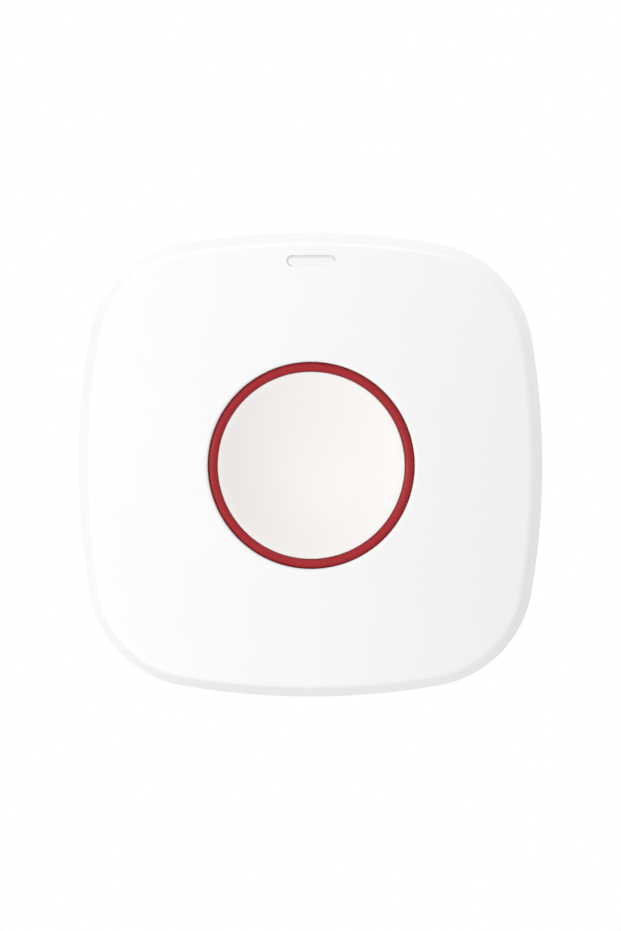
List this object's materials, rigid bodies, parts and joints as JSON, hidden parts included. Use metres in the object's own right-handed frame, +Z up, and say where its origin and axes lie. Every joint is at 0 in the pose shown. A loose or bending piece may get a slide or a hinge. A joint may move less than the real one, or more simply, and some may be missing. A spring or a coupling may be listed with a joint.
{
  "type": "wireless panic button",
  "caption": "Wall-hung wireless panic button: square domed white housing with a dished button in a red ring, a light window above it, and a battery, board and switch inside.",
  "frame": {"origin": "centre of the back face, on the wall plane", "axes": "+X right and +Z up as seen from the room, +Y into the wall; the button faces -Y"},
  "size_m": [0.062, 0.0168, 0.062],
  "materials": {
    "white_plastic": "satin white moulding",
    "cap_plastic": "satin warm white moulding",
    "red_plastic": "satin red moulding",
    "clear_plastic": "frosted translucent",
    "spring_steel": "drawn wire",
    "board_laminate": "solder mask",
    "black_plastic": "moulded black",
    "bright_steel": "plated sheet",
    "led_plastic": "moulded lens",
    "antenna_strip": "stamped brass strip",
    "capacitor_ceramic": "fired ceramic",
    "cell_steel": "nickel-plated can",
    "screw_steel": "zinc-plated"
  },
  "bodies": {
    "housing": {"front_cover": "white_plastic", "rear_cover": "white_plastic", "return_spring": "spring_steel", "light_pipe": "clear_plastic", "circuit_board": "board_laminate", "tact_switch_body": "black_plastic", "tact_switch_plate": "bright_steel", "tact_switch_leads": "bright_steel", "status_led": "led_plastic", "microcontroller": "black_plastic", "radio_chip": "black_plastic", "radio_shield": "bright_steel", "crystal": "bright_steel", "antenna": "antenna_strip", "capacitors": "capacitor_ceramic", "resistors": "black_plastic", "battery_holder": "black_plastic", "coin_cell": "cell_steel", "positive_contact": "bright_steel", "negative_contact": "bright_steel", "board_screws": "screw_steel", "tamper_switch_body": "black_plastic", "tamper_plunger": "white_plastic"},
    "button": {"button_cap": "cap_plastic", "button_ring": "red_plastic"},
    "plunger": {"tact_switch_plunger": "red_plastic"}
  },
  "joints": [
    {"name": "button_press", "type": "slide", "parent": "housing", "child": "button", "axis": [0, 1, 0], "range_m": [0, 0.0007], "stiffness_N_per_m": 3000, "springref_m": -0.0005, "deforming": ["return_spring"]},
    {"name": "plunger_press", "type": "slide", "parent": "housing", "child": "plunger", "axis": [0, 1, 0], "range_m": [0, 0.00035]}
  ],
  "couplings": [
    {"joint": "plunger_press", "follows": "button_press", "ratio": 0.5}
  ]
}
